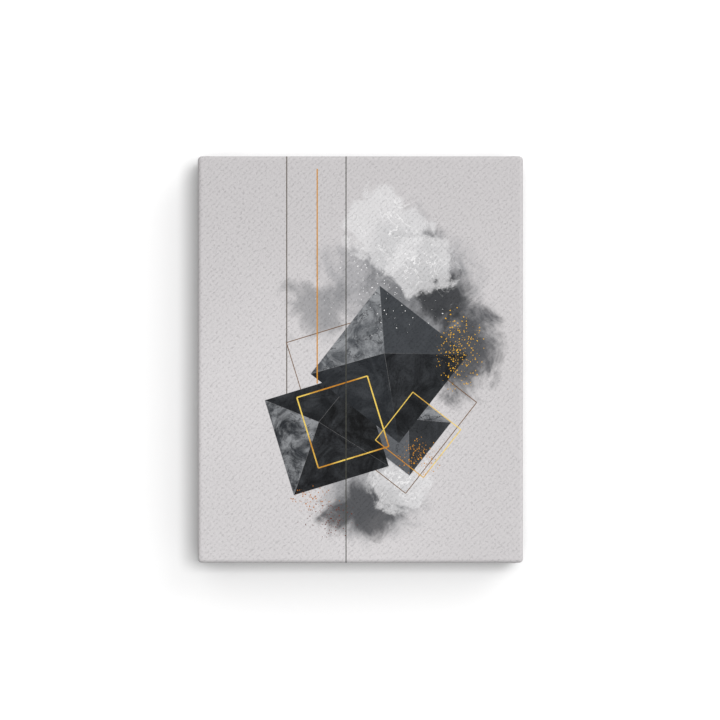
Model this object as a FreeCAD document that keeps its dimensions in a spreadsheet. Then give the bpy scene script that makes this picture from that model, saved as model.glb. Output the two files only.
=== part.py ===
"""A small gallery-wrapped stretched canvas, built as the real one is.

Four universal stretcher bars meet at keyed bridle-mitre corners, eight wooden keys spread them,
and one primed cloth is wrapped over the front, the four sides and part of the back.

World frame, in millimetres: +Z is up, the painted face looks along -Y and X runs across it.
The origin is below the middle of the canvas, on the surface that it stands on.

Bar frame, used by every piece that rides on a bar: x runs along the bar from its middle,
y goes from the front lip to the back, and z is 0 on the outer edge and falls towards the hollow.
"""

import FreeCAD, Part
import os
import Sketcher

SIZES = {
    # the whole canvas, over its cloth
    "canvas_width": 203.2,
    "canvas_height": 254.0,
    "canvas_depth": 38.1,
    # the cloth, its rounding at the front and at the back, and what is folded onto the back
    "cloth": 0.5,
    "edge_round": 2.5,
    "back_round": 1.0,
    "flap": 16.0,
    # a stretcher bar's section, and the play between pieces that slide on each other
    "bar_width": 20.0,
    "lip_width": 6.0,
    "bevel_drop": 3.0,
    "slip": 0.1,
    # its corner joint: two layers of tongue and slot between a front and a back mitred cheek
    "tongue_layer": 7.0,
    "back_cheek": 8.0,
    "mitre_open": 1.0,
    "tongue_inset": 4.0,
    "tongue_gap": 3.0,
    # how far each bar comes in as its keys are drawn, and a key's travel for each mm of that
    "bar_travel": 0.9,
    "key_run": 6.0,
    # a corner key
    "key_length": 38.0,
    "key_thick": 5.0,
    "key_inside": 14.0,
    "key_mouth": 6.5,
    "key_play": 0.2,
    "key_nose": 1.5,
    # the staples in the back, and the play around each leg or nail in the folded cloth
    "staple_crown": 10.0,
    "staple_leg": 8.0,
    "staple_strip": 1.2,
    "staple_wire": 0.6,
    "staple_inset": 6.0,
    "staple_pitch": 46.0,
    "slit_play": 0.2,
    # the sawtooth hanger and its nails
    "hanger_length": 45.0,
    "hanger_height": 9.0,
    "hanger_plate": 0.8,
    "hanger_lift": 1.4,
    "hanger_tab": 8.0,
    "hanger_inset": 7.5,
    "tooth_count": 9,
    "tooth_pitch": 2.5,
    "tooth_depth": 1.6,
    "nail_shank": 0.7,
    "nail_head": 1.9,
    "nail_head_thick": 0.6,
    "nail_length": 10.0,
    # the rubber bumpers that keep the lower corners off a wall
    "bumper_radius": 5.0,
    "bumper_height": 3.0,
    "bumper_round": 1.0,
    "bumper_inset": 12.0,
}

# Sizes that follow from the sheet's, as expressions.
WRAP = "(Sizes.cloth + Sizes.slip)"
FRONT = "(-(Sizes.canvas_depth + Sizes.bumper_height) / 2)"
BACK = "((Sizes.canvas_depth - Sizes.bumper_height) / 2)"
BAR_DEPTH = f"(Sizes.canvas_depth - 2 * {WRAP})"
LAYER_1 = f"({BAR_DEPTH} - Sizes.back_cheek - 2 * Sizes.tongue_layer)"
LAYER_2 = f"({BAR_DEPTH} - Sizes.back_cheek - Sizes.tongue_layer)"
LAYER_3 = f"({BAR_DEPTH} - Sizes.back_cheek)"
CLOTH_BACK = f"({BAR_DEPTH} + {WRAP})"
SLOT_BOTTOM = "(Sizes.bar_width + Sizes.key_mouth + 2 * Sizes.key_play)"
NAIL_ALONG = "(Sizes.hanger_length / 2 - Sizes.hanger_tab / 2)"
NAIL_ACROSS = "(-Sizes.hanger_inset - Sizes.hanger_height / 2)"
# How far a cutter's outline runs past the wood, and how close an edge lies to where it should.
CUT_PAST = "2"
NEAR = 1e-6

# Each bar: the canvas size that sets its length, its turn about Y, and its number of staples.
BARS = {
    "top": ("Sizes.canvas_width", 0, 4),
    "right": ("Sizes.canvas_height", 90, 5),
    "bottom": ("Sizes.canvas_width", 180, 4),
    "left": ("Sizes.canvas_height", 270, 5),
}
# What each bar has at its low-x and at its high-x end: the bar that it meets there.
NEIGHBOURS = {
    "top": ("left", "right"),
    "right": ("top", "bottom"),
    "bottom": ("right", "left"),
    "left": ("bottom", "top"),
}


def make_sheet(document):
    """The spreadsheet that holds the driving dimensions, each cell under its own alias."""
    sheet = document.addObject("Spreadsheet::Sheet", "Sizes")
    for row, (alias, value) in enumerate(SIZES.items(), start=1):
        sheet.set(f"A{row}", alias)
        sheet.set(f"B{row}", str(value))
        sheet.setAlias(f"B{row}", alias)
    document.recompute()


def make_body(document, label):
    """An empty body that may hold several separate solids, as a row of staples does."""
    body = document.addObject("PartDesign::Body", label)
    body.Label = label
    body.AllowCompound = True
    return body


def make_sketch(body, name, role, lift="0"):
    """A sketch on one of the body's own planes, lifted along that plane's normal."""
    sketch = body.newObject("Sketcher::SketchObject", f"{body.Name}_{name}")
    plane = next(f for f in body.Origin.OriginFeatures if f.Role == role)
    sketch.AttachmentSupport = [(plane, "")]
    sketch.MapMode = "FlatFace"
    sketch.setExpression("AttachmentOffset.Base.z", lift)
    return sketch


def upright_sketch(body, name, depth):
    """A sketch that faces the front or the back, at a depth y. Its x and y are the body's x and z."""
    return make_sketch(body, name, "XZ_Plane", f"-({depth})")


def value_of(sketch, formula):
    """What an expression comes to, in mm."""
    return float(sketch.evalExpression(formula))


def pin_point(sketch, geometry, point, place):
    """Holds a point of a line or circle at a place, whose two coordinates are expressions."""
    for kind, formula in zip(("DistanceX", "DistanceY"), place):
        number = sketch.addConstraint(Sketcher.Constraint(kind, -1, 1, geometry, point, 0.0))
        sketch.setExpression(f"Constraints[{number}]", formula)


def draw_outline(sketch, places):
    """A closed outline of straight lines, with each corner bound to its expressions."""
    first = sketch.GeometryCount
    corners = []
    for place in places:
        corners.append(FreeCAD.Vector(*(value_of(sketch, formula) for formula in place), 0))
    for start, end in zip(corners, corners[1:] + corners[:1]):
        sketch.addGeometry(Part.LineSegment(start, end))
    for step, place in enumerate(places):
        following = (step + 1) % len(places)
        joined = Sketcher.Constraint("Coincident", first + step, 2, first + following, 1)
        sketch.addConstraint(joined)
        pin_point(sketch, first + step, 1, place)


def draw_circle(sketch, place, radius):
    """A circle whose middle and radius are bound to their expressions."""
    middle = FreeCAD.Vector(*(value_of(sketch, formula) for formula in place), 0)
    circle = Part.Circle(middle, FreeCAD.Vector(0, 0, 1), value_of(sketch, radius))
    geometry = sketch.addGeometry(circle)
    pin_point(sketch, geometry, 3, place)
    number = sketch.addConstraint(Sketcher.Constraint("Radius", geometry, circle.Radius))
    sketch.setExpression(f"Constraints[{number}]", radius)


def add_pad(sketch, name, length, midplane=False, reverse=False):
    """Extrudes a sketch of the body along its normal, both ways at once, or against it."""
    body = sketch.getParentGeoFeatureGroup()
    pad = body.newObject("PartDesign::Pad", f"{body.Name}_{name}")
    pad.Profile = sketch
    pad.Midplane = midplane
    pad.Reversed = reverse
    pad.setExpression("Length", length)
    body.Document.recompute()
    return pad


def add_pocket(sketch, name, length):
    """Cuts an upright sketch backwards into its body, and makes sure that it took wood away."""
    body = sketch.getParentGeoFeatureGroup()
    before = body.Shape.Volume
    pocket = body.newObject("PartDesign::Pocket", f"{body.Name}_{name}")
    pocket.Profile = sketch
    pocket.setExpression("Length", length)
    body.Document.recompute()
    if pocket.Shape.Volume > before - NEAR:
        raise RuntimeError(f"{pocket.Name} cuts nothing")
    return pocket


def add_row(features, name, pitch, count, role="X_Axis"):
    """Repeats features along one of their body's axes, and makes the row the body's result."""
    body = features[0].getParentGeoFeatureGroup()
    row = body.newObject("PartDesign::LinearPattern", f"{body.Name}_{name}")
    row.Originals = features
    row.Direction = (next(f for f in body.Origin.OriginFeatures if f.Role == role), [""])
    row.setExpression("Occurrences", f"{count}")
    row.setExpression("Length", f"{pitch} * ({count} - 1)")
    body.Tip = row
    body.Document.recompute()
    return row


def add_fillet(body, name, radius, chosen):
    """Rounds those edges of the body that the given test picks by their bounds."""
    base = body.Tip
    edges = [f"Edge{n}" for n, e in enumerate(base.Shape.Edges, start=1) if chosen(e.BoundBox)]
    fillet = body.newObject("PartDesign::Fillet", f"{body.Name}_{name}")
    fillet.Base = (base, edges)
    fillet.setExpression("Radius", radius)
    body.Document.recompute()
    return fillet


def set_on_bar(body, side):
    """Places a body drawn in the bar frame at its own side of the canvas."""
    angle = BARS[side][1]
    sideways = {"right": 1, "left": -1}.get(side, 0)
    upwards = {"top": 1, "bottom": -1}.get(side, 0)
    body.Placement = FreeCAD.Placement(
        FreeCAD.Vector(0, 0, 0), FreeCAD.Rotation(FreeCAD.Vector(0, 1, 0), angle)
    )
    body.setExpression("Placement.Base.x", f"{sideways} * (Sizes.canvas_width / 2 - {WRAP})")
    body.setExpression("Placement.Base.y", f"{FRONT} + {WRAP}")
    body.setExpression(
        "Placement.Base.z",
        f"Sizes.canvas_height / 2 + {upwards} * (Sizes.canvas_height / 2 - {WRAP})",
    )


def bar_half(side):
    """Half of a bar's outside length."""
    return f"({BARS[side][0]} / 2 - {WRAP})"


def at_end(side, end, along, across):
    """A place in the bar frame: so far along from one end, -1 or 1, and so far in from the edge."""
    return (f"{end} * ({bar_half(side)} - ({along}))", f"-({across})")


def mitre_waste():
    """What a mitred cheek loses at its end: its blunt tip and everything past the mitre."""
    past_inside = f"Sizes.bar_width + {CUT_PAST}"
    return [
        (f"-{CUT_PAST}", f"-{CUT_PAST}"),
        ("Sizes.edge_round", f"-{CUT_PAST}"),
        ("Sizes.edge_round", "Sizes.edge_round - Sizes.mitre_open"),
        (f"{past_inside} + Sizes.mitre_open", past_inside),
        (f"-{CUT_PAST}", past_inside),
    ]


def tongue_waste():
    """What a tongue's layer loses: the tongue stops short of the end and of the outer edge."""
    past_inside = f"Sizes.bar_width + {CUT_PAST}"
    return [
        (f"-{CUT_PAST}", f"-{CUT_PAST}"),
        ("Sizes.edge_round", f"-{CUT_PAST}"),
        ("Sizes.edge_round", "Sizes.edge_round - Sizes.mitre_open"),
        ("Sizes.tongue_inset + Sizes.mitre_open", "Sizes.tongue_inset"),
        ("Sizes.tongue_gap", "Sizes.tongue_inset"),
        ("Sizes.tongue_gap", past_inside),
        (f"-{CUT_PAST}", past_inside),
    ]


def slot_waste():
    """What a slot's layer loses: the whole width of the bar, down to the slot's bottom."""
    past_inside = f"Sizes.bar_width + {CUT_PAST}"
    return [
        (f"-{CUT_PAST}", f"-{CUT_PAST}"),
        (SLOT_BOTTOM, f"-{CUT_PAST}"),
        (SLOT_BOTTOM, past_inside),
        (f"-{CUT_PAST}", past_inside),
    ]


def cut_end(body, side, end, name, waste, start, depth):
    """Cuts one layer of one end of a bar, from the depth start on."""
    sketch = upright_sketch(body, f"{name}_outline", start)
    draw_outline(sketch, [at_end(side, end, along, across) for along, across in waste])
    add_pocket(sketch, name, depth)


def make_bar(document, side):
    """A universal bar: a lipped, bevelled strip whose low-x tongue is in front of its other one."""
    body = make_body(document, f"{side}_bar")
    section = make_sketch(body, "section", "YZ_Plane")
    corners = [
        ("0", "0"),
        (BAR_DEPTH, "0"),
        (BAR_DEPTH, "-Sizes.bar_width"),
        ("Sizes.bevel_drop", "-Sizes.bar_width"),
        ("0", "-Sizes.lip_width"),
    ]
    draw_outline(section, corners)
    add_pad(section, "strip", f"2 * {bar_half(side)}", midplane=True)

    def outer_front(bounds):
        return bounds.YMax < NEAR and bounds.ZMin > -NEAR

    add_fillet(body, "lip", "Sizes.edge_round - Sizes.cloth", outer_front)
    slot_depth = "Sizes.tongue_layer + 2 * Sizes.slip"
    for end, layer_of_tongue, layer_of_slot in ((-1, LAYER_1, LAYER_2), (1, LAYER_2, LAYER_1)):
        word = "near" if end < 0 else "far"
        slot_start = f"{layer_of_slot} - Sizes.slip"
        cut_end(body, side, end, f"{word}_front_mitre", mitre_waste(), "0", LAYER_1)
        cut_end(body, side, end, f"{word}_slot", slot_waste(), slot_start, slot_depth)
        cut_end(
            body, side, end, f"{word}_tongue", tongue_waste(), layer_of_tongue, "Sizes.tongue_layer"
        )
        cut_end(body, side, end, f"{word}_back_mitre", mitre_waste(), LAYER_3, "Sizes.back_cheek")
    set_on_bar(body, side)


def make_key(document, side, end):
    """A wedge whose straight edge lies along its own bar and whose other edge bears on the next."""
    body = make_body(document, f"{side}_bar_key_{NEIGHBOURS[side][(end + 1) // 2]}")
    layer = LAYER_1 if end < 0 else LAYER_2
    thin_end = "(Sizes.bar_width - Sizes.key_inside)"
    wide_end = f"({thin_end} + Sizes.key_length)"
    straight = "(Sizes.bar_width + Sizes.key_play)"

    def slanted(along):
        return f"{straight} + Sizes.key_mouth + ({along} - Sizes.bar_width) / Sizes.key_run"

    outline = [
        (thin_end, straight),
        (wide_end, straight),
        (wide_end, slanted(wide_end)),
        (f"{thin_end} + Sizes.key_nose", slanted(f"({thin_end} + Sizes.key_nose)")),
        (thin_end, f"{slanted(thin_end)} - Sizes.key_nose"),
    ]
    sketch = upright_sketch(
        body, "outline", f"{layer} + (Sizes.tongue_layer - Sizes.key_thick) / 2"
    )
    draw_outline(sketch, [at_end(side, end, along, across) for along, across in outline])
    add_pad(sketch, "wedge", "Sizes.key_thick", reverse=True)
    set_on_bar(body, side)


def make_staples(document, side):
    """A row of staples along a bar, with their crowns on the cloth and their legs in the wood."""
    body = make_body(document, f"{side}_staples")
    count = BARS[side][2]
    middle = f"(-Sizes.staple_pitch * ({count} - 1) / 2)"
    outer = "Sizes.staple_crown / 2"
    inner = "(Sizes.staple_crown / 2 - Sizes.staple_wire)"
    crown_top = f"{CLOTH_BACK} + Sizes.staple_wire"
    tip = f"{CLOTH_BACK} - Sizes.staple_leg"
    corners = [
        (f"{middle} - {outer}", crown_top),
        (f"{middle} + {outer}", crown_top),
        (f"{middle} + {outer}", tip),
        (f"{middle} + {inner}", tip),
        (f"{middle} + {inner}", CLOTH_BACK),
        (f"{middle} - {inner}", CLOTH_BACK),
        (f"{middle} - {inner}", tip),
        (f"{middle} - {outer}", tip),
    ]
    lift = "-Sizes.staple_inset - Sizes.staple_strip / 2"
    sketch = make_sketch(body, "outline", "XY_Plane", lift)
    draw_outline(sketch, corners)
    staple = add_pad(sketch, "staple", "Sizes.staple_strip")
    add_row([staple], "row", "Sizes.staple_pitch", count)
    set_on_bar(body, side)


def make_hanger(document):
    """A sawtooth hanger: a strip with two nailed tabs, raised between them, with teeth below."""
    body = make_body(document, "sawtooth_hanger")
    end = "(Sizes.hanger_length / 2)"
    bend = f"({end} - Sizes.hanger_tab)"
    raised = f"({bend} - Sizes.hanger_lift)"
    high = f"{CLOTH_BACK} + Sizes.hanger_lift"
    back_line = [(end, CLOTH_BACK), (bend, CLOTH_BACK), (raised, high)]
    back_line += [(f"-{x}", y) for x, y in reversed(back_line)]
    face_line = [(x, f"{y} + Sizes.hanger_plate") for x, y in reversed(back_line)]
    lower_edge = "(-Sizes.hanger_inset - Sizes.hanger_height)"
    section = make_sketch(body, "section", "XY_Plane", lower_edge)
    draw_outline(section, back_line + face_line)
    add_pad(section, "strip", "Sizes.hanger_height")

    holes = upright_sketch(body, "holes", CLOTH_BACK)
    for sign in ("-", ""):
        draw_circle(holes, (f"{sign}{NAIL_ALONG}", NAIL_ACROSS), "Sizes.nail_shank + Sizes.slip")
    add_pocket(holes, "nail_holes", "Sizes.hanger_plate")

    first = "(-Sizes.tooth_pitch * (Sizes.tooth_count - 1) / 2)"
    tooth = [
        (f"{first} - Sizes.tooth_pitch / 2", lower_edge),
        (f"{first} + Sizes.tooth_pitch / 2", lower_edge),
        (first, f"{lower_edge} + Sizes.tooth_depth"),
    ]
    notch = upright_sketch(body, "notch_outline", high)
    draw_outline(notch, tooth)
    cut = add_pocket(notch, "notch", "Sizes.hanger_plate")
    add_row([cut], "teeth", "Sizes.tooth_pitch", "Sizes.tooth_count")
    set_on_bar(body, "top")


def make_nails(document):
    """The hanger's two nails, with their heads on its tabs and their shanks in the top bar."""
    body = make_body(document, "hanger_nails")
    seat = f"({CLOTH_BACK} + Sizes.hanger_plate)"
    place = (f"-{NAIL_ALONG}", NAIL_ACROSS)
    head = upright_sketch(body, "head_outline", seat)
    draw_circle(head, place, "Sizes.nail_head")
    head_pad = add_pad(head, "head", "Sizes.nail_head_thick", reverse=True)
    shank = upright_sketch(body, "shank_outline", seat)
    draw_circle(shank, place, "Sizes.nail_shank")
    shank_pad = add_pad(shank, "shank", "Sizes.nail_length")
    add_row([head_pad, shank_pad], "pair", f"2 * {NAIL_ALONG}", "2")
    set_on_bar(body, "top")


def make_bumper(document, side):
    """A soft round foot at a lower back corner, on the cloth, that stands off the wall."""
    body = make_body(document, f"{side}_bumper")
    sign = "-" if side == "left" else ""
    place = (f"{sign}(Sizes.canvas_width / 2 - Sizes.bumper_inset)", "Sizes.bumper_inset")
    sketch = upright_sketch(body, "outline", BACK)
    draw_circle(sketch, place, "Sizes.bumper_radius")
    add_pad(sketch, "foot", "Sizes.bumper_height", reverse=True)
    wall = (SIZES["canvas_depth"] + SIZES["bumper_height"]) / 2
    add_fillet(body, "rim", "Sizes.bumper_round", lambda edge: edge.YMin > wall - NEAR)


def canvas_outline(inset):
    """The canvas's rectangle in its XZ plane, brought in by an expression on all four sides."""
    side = f"(Sizes.canvas_width / 2 - {inset})"
    top = f"(Sizes.canvas_height - {inset})"
    return [(f"-{side}", inset), (side, inset), (side, top), (f"-{side}", top)]


def cut_slit(sketch, side, along, across, half_length, half_width):
    """A slit in the folded cloth, long enough for a leg or nail to follow its bar inwards."""
    near_edge = f"({WRAP} - ({across}) - {half_width} - Sizes.slit_play)"
    far_edge = f"({WRAP} - ({across}) + {half_width} + Sizes.bar_travel + Sizes.slit_play)"
    low = f"({along} - {half_length} - Sizes.slit_play)"
    high = f"({along} + {half_length} + Sizes.slit_play)"
    corners = [(low, near_edge), (high, near_edge), (high, far_edge), (low, far_edge)]
    draw_outline(sketch, [on_canvas(side, *corner) for corner in corners])


def on_canvas(side, along, inward):
    """The place in the canvas's XZ plane that is so far along a side's bar and so far in."""
    middle = "Sizes.canvas_height / 2"
    return {
        "top": (along, f"Sizes.canvas_height - {inward}"),
        "bottom": (f"-({along})", inward),
        "right": (f"Sizes.canvas_width / 2 - {inward}", f"{middle} - ({along})"),
        "left": (f"{inward} - Sizes.canvas_width / 2", f"{middle} + ({along})"),
    }[side]


def make_canvas(document):
    """The cloth: front, four sides and a fold on the back, with slits where the staples go in."""
    body = make_body(document, "canvas")
    half, depth = SIZES["canvas_width"] / 2, SIZES["canvas_depth"]
    front = -(depth + SIZES["bumper_height"]) / 2

    outside = upright_sketch(body, "outside", FRONT)
    draw_outline(outside, canvas_outline("0"))
    add_pad(outside, "block", "Sizes.canvas_depth", reverse=True)
    inside = upright_sketch(body, "inside", f"{FRONT} + Sizes.cloth")
    draw_outline(inside, canvas_outline("Sizes.cloth"))
    add_pocket(inside, "hollow", "Sizes.canvas_depth - 2 * Sizes.cloth")

    opening = upright_sketch(body, "back_edge", f"{BACK} - Sizes.cloth")
    draw_outline(opening, canvas_outline("Sizes.flap"))
    add_pocket(opening, "back_opening", "Sizes.cloth")

    def rounded(inset):
        def chosen(edge):
            in_front = abs(edge.YMax - front - inset) < NEAR
            corner = edge.YLength > depth / 2 and abs(abs(edge.XMin) - half + inset) < NEAR
            return in_front or corner

        return chosen

    def outside_back(edge):
        sideways = max(-edge.XMin, edge.XMax) > half - NEAR
        upright = edge.ZMin < NEAR or edge.ZMax > SIZES["canvas_height"] - NEAR
        return edge.YMin > front + depth - NEAR and (sideways or upright)

    add_fillet(body, "outer_round", "Sizes.edge_round", rounded(0))
    add_fillet(body, "inner_round", "Sizes.edge_round - Sizes.cloth", rounded(SIZES["cloth"]))
    add_fillet(body, "back_fold", "Sizes.back_round", outside_back)

    for side in BARS:
        cut_staple_slits(body, side)
    nails = upright_sketch(body, "nail_slits", f"{BACK} - Sizes.cloth")
    for sign in ("-", ""):
        shank = "Sizes.nail_shank"
        cut_slit(nails, "top", f"{sign}{NAIL_ALONG}", NAIL_ACROSS, shank, shank)
    add_pocket(nails, "nail_slit_pair", "Sizes.cloth")


def cut_staple_slits(body, side):
    """The slits for one side's staples: a pair for the lowest staple on X or Z, then the row."""
    count = BARS[side][2]
    to_first = f"(Sizes.staple_pitch * ({count} - 1) / 2)"
    bar_runs_up_axis = side in ("top", "left")
    sketch = upright_sketch(body, f"{side}_slits", f"{BACK} - Sizes.cloth")
    for leg in ("-", ""):
        to_leg = f"{leg}(Sizes.staple_crown / 2 - Sizes.staple_wire / 2)"
        along = f"({to_leg} - {to_first})" if bar_runs_up_axis else f"({to_leg} + {to_first})"
        length, width = "Sizes.staple_wire / 2", "Sizes.staple_strip / 2"
        cut_slit(sketch, side, along, "-Sizes.staple_inset", length, width)
    pair = add_pocket(sketch, f"{side}_slit_pair", "Sizes.cloth")
    axis = "X_Axis" if side in ("top", "bottom") else "Z_Axis"
    add_row([pair], f"{side}_slit_row", "Sizes.staple_pitch", count, axis)


def save_parts(document):
    """Makes sure that every object came out well, and writes each body to a file of its own."""
    document.recompute()
    failed = [o.Name for o in document.Objects if {"Invalid", "Error"} & set(o.State)]
    if failed:
        raise RuntimeError(f"these failed: {failed}")
    os.makedirs("parts", exist_ok=True)
    for body in document.findObjects("PartDesign::Body"):
        shape = body.Shape
        if shape.isNull() or not shape.isValid():
            raise RuntimeError(f"{body.Label} has no valid shape")
        shape.exportStep(f"parts/{body.Label}.step")
        print(f"{body.Label}: {len(shape.Solids)} solid(s), {shape.Volume:.1f} mm3")


def main():
    document = FreeCAD.newDocument("StretchedCanvas")
    make_sheet(document)
    make_canvas(document)
    for side in BARS:
        make_bar(document, side)
        make_staples(document, side)
        for end in (-1, 1):
            make_key(document, side, end)
    make_hanger(document)
    make_nails(document)
    for side in ("left", "right"):
        make_bumper(document, side)
    save_parts(document)


main()
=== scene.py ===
"""A gallery-wrapped stretched canvas, seen straight on against a white wall.

Blender builds the cloth with its corner folds, the staples, the hanger's nails, the bumpers and
the loose threads, and gives the CAD bars, keys and hanger their materials. Lengths are in metres,
apart from the shader helpers, which measure in millimetres because weave, grain and print are
that small.
"""

import math
import random

import bpy
import numpy as np
from mathutils import Matrix, Vector, noise


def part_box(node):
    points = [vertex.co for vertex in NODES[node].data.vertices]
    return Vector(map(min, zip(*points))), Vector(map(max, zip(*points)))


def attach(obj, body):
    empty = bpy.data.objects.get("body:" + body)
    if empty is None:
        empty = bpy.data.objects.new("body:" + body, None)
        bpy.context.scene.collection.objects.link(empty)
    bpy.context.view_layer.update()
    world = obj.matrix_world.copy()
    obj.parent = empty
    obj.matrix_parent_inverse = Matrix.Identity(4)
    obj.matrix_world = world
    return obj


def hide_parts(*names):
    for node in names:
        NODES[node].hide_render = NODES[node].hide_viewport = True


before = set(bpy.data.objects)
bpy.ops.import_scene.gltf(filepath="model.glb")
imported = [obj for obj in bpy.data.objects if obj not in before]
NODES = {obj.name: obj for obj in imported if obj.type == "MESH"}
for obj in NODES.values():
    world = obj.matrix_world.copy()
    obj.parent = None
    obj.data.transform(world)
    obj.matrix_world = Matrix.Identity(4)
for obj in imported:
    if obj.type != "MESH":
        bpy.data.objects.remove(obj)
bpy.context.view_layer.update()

MM = 0.001
CANVAS_LOW, CANVAS_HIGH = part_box("canvas")
WIDTH, DEPTH, HEIGHT = CANVAS_HIGH - CANVAS_LOW
MIDDLE = (CANVAS_LOW + CANVAS_HIGH) / 2
WALL_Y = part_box("left_bumper")[1].y
SIDES = ("top", "right", "bottom", "left")
LEVEL_SIDES = ("top", "bottom")
# Which way each side faces, in x and z.
OUTWARD = {"top": (0, 1), "right": (1, 0), "bottom": (0, -1), "left": (-1, 0)}

# The cloth, as the CAD part has it.
CLOTH = 0.5 * MM
EDGE_ROUND = 2.5 * MM
BACK_ROUND = 1.0 * MM
FLAP = 16 * MM
# The pleat on the top and bottom sides, at each corner: where its folded edge lies, in from the
# corner of the canvas, and how far its layers and that edge's rim stand out.
PLEAT_FRONT = 3.0 * MM
PLEAT_BACK = 6.5 * MM
PLEAT_RISE = 0.55 * MM
PLEAT_RIM = 0.25 * MM
# How far the raw edge on the back lifts between the staples.
FLAP_LIFT = 0.45 * MM
# The staples: how far they lie in from the outer edge, how wide and how far apart they are.
STAPLE_INSET = 6.6 * MM
STAPLE_CROWN = 10 * MM
STAPLE_PITCH = 46 * MM
# The weave's pitch in mm, and how strong each part of its height is: the floats that lean one
# way, those that lean the other way, the thick places of the yarns and their grain.
WEAVE_PITCH = 1.87
RISING, FALLING, SLUBS, GRAIN = 0.27, 0.12, 1.8, 2.8
# The mesh attribute with each point's place on the cloth when it is unrolled flat.
FLAT_PLACE = "flat_place"


def linear(hex_colour):
    """The scene-linear colour of an sRGB hex string such as "3a3d41"."""
    parts = [int(hex_colour[i : i + 2], 16) / 255 for i in (0, 2, 4)]
    return (*(c / 12.92 if c <= 0.04045 else ((c + 0.055) / 1.055) ** 2.4 for c in parts), 1.0)


# ------------------------ shader helpers


class Shader:
    """A node material that is written as expressions. Its point is in millimetres."""

    def __init__(self, name):
        self.material = bpy.data.materials.new(name)
        self.material.use_nodes = True
        self.tree = self.material.node_tree
        self.tree.nodes.clear()
        self.coordinates = self.node("ShaderNodeTexCoord").outputs["Object"]
        self.point = self.vector("SCALE", self.coordinates, scale=1 / MM)

    def node(self, kind, **settings):
        made = self.tree.nodes.new(kind)
        for key, value in settings.items():
            setattr(made, key, value)
        return made

    def feed(self, socket, value):
        """Links a socket, or sets it where the value is a plain number or colour."""
        if isinstance(value, bpy.types.NodeSocket):
            self.tree.links.new(value, socket)
        elif value is not None:
            socket.default_value = value

    def math(self, operation, a, b=None, clamp=False):
        made = self.node("ShaderNodeMath", operation=operation, use_clamp=clamp)
        self.feed(made.inputs[0], a)
        self.feed(made.inputs[1], b)
        return made.outputs[0]

    def vector(self, operation, a, b=None, scale=None):
        made = self.node("ShaderNodeVectorMath", operation=operation)
        self.feed(made.inputs[0], a)
        self.feed(made.inputs[1], b)
        self.feed(made.inputs[3], scale)
        return made.outputs["Value" if operation in ("DOT_PRODUCT", "LENGTH") else "Vector"]

    def ramp(self, value, low, high, to_low=0.0, to_high=1.0):
        """The value's place between low and high, eased and held at both ends."""
        made = self.node("ShaderNodeMapRange", interpolation_type="SMOOTHSTEP")
        for socket, given in zip(made.inputs, (value, low, high, to_low, to_high)):
            self.feed(socket, given)
        return made.outputs[0]

    def mix(self, share, a, b):
        made = self.node("ShaderNodeMix", data_type="RGBA")
        self.feed(made.inputs[0], share)
        self.feed(made.inputs[6], a)
        self.feed(made.inputs[7], b)
        return made.outputs[2]

    def noise(self, scale, detail=3.0, roughness=0.5, distortion=0.0, at=None, colour=False):
        made = self.node("ShaderNodeTexNoise")
        self.feed(made.inputs["Vector"], self.point if at is None else at)
        made.inputs["Scale"].default_value = scale
        made.inputs["Detail"].default_value = detail
        made.inputs["Roughness"].default_value = roughness
        made.inputs["Distortion"].default_value = distortion
        return made.outputs["Color" if colour else "Fac"]

    def moved(self, offset):
        """The point, shifted, so that two textures of one kind don't line up."""
        return self.vector("ADD", self.point, offset)

    def stretched(self, factors, at=None):
        return self.vector("MULTIPLY", self.point if at is None else at, factors)

    def axis(self, name, at=None):
        made = self.node("ShaderNodeSeparateXYZ")
        self.feed(made.inputs[0], self.point if at is None else at)
        return made.outputs[name]

    def finish(self, colour, roughness, height=None, bump=0.3, distance=0.1 * MM, **extra):
        """Joins colour, roughness and bump height to the surface. Distance is in metres."""
        surface = self.node("ShaderNodeBsdfPrincipled")
        self.feed(surface.inputs["Base Color"], colour)
        self.feed(surface.inputs["Roughness"], roughness)
        for key, value in extra.items():
            self.feed(surface.inputs[key.replace("_", " ")], value)
        if height is not None:
            made = self.node("ShaderNodeBump")
            made.inputs["Strength"].default_value = bump
            made.inputs["Distance"].default_value = distance
            self.feed(made.inputs["Height"], height)
            self.feed(surface.inputs["Normal"], made.outputs[0])
        output = self.node("ShaderNodeOutputMaterial")
        self.feed(output.inputs["Surface"], surface.outputs[0])
        return self.material


# ------------------------ the print

# Everything below is in millimetres on the face: x from its middle, z from its bottom side.
LINE_SOFTNESS = 0.16
# A square's tones are those of its four facets, anticlockwise from the one below its apex, and
# its pale one is the facet with the marbling.
SQUARES = (
    {"middle": (27, 84), "half": 21, "turn": 52, "apex": (30, 90), "pale": 1,
     "tones": ("2b2d30", "4a4c50", "7a7c7f", "5e6064")},
    {"middle": (-21, 81), "half": 31, "turn": 17, "apex": (-26, 88), "pale": 3,
     "tones": ("0d0e11", "090a0c", "15171a", "26292d")},
    {"middle": (18, 124), "half": 35, "turn": -38, "apex": (15, 131), "pale": 3,
     "tones": ("1f2226", "101215", "393c40", "4c4f53")},
)
# The thin outlines: middle, half side, turn, width and whether they pass behind the squares.
OUTLINES = (
    ((0, 113), 37, 17, 0.5, True),
    ((22, 94), 36, -38, 0.5, True),
    ((-11, 88), 23, 17, 0.8, False),
    ((36, 80), 19, -38, 0.55, False),
)
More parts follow.
